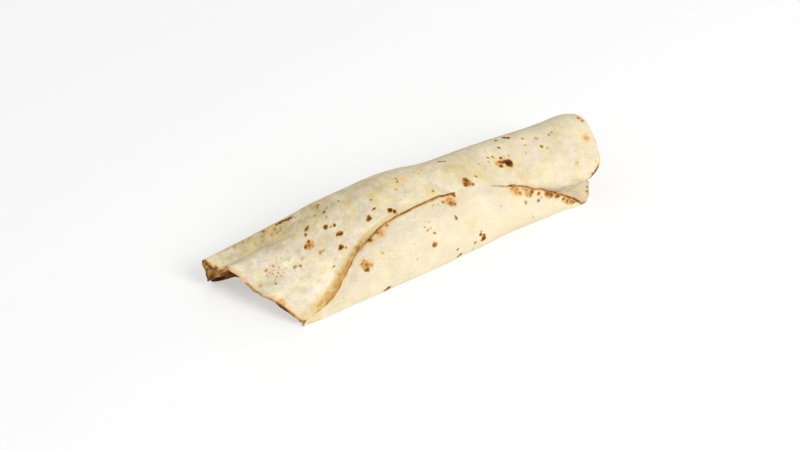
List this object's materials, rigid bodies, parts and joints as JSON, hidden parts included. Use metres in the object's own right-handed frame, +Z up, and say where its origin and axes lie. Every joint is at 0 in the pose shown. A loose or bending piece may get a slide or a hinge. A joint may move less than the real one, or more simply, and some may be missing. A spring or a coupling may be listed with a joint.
{
  "type": "rolled quesadilla",
  "caption": "Soft flour tortilla rolled up into an open tube, with a broad flap lying over the front and the far end pressed flat.",
  "frame": {"origin": "centre of the bounding box's base, on the surface the roll rests on", "axes": "+X along the roll towards its open round end, -Y is the side with the flap, +Z up"},
  "size_m": [0.2683, 0.0785, 0.0527],
  "materials": {
    "dough": "matte"
  },
  "bodies": {
    "root": {"tortilla": "dough"}
  },
  "joints": []
}
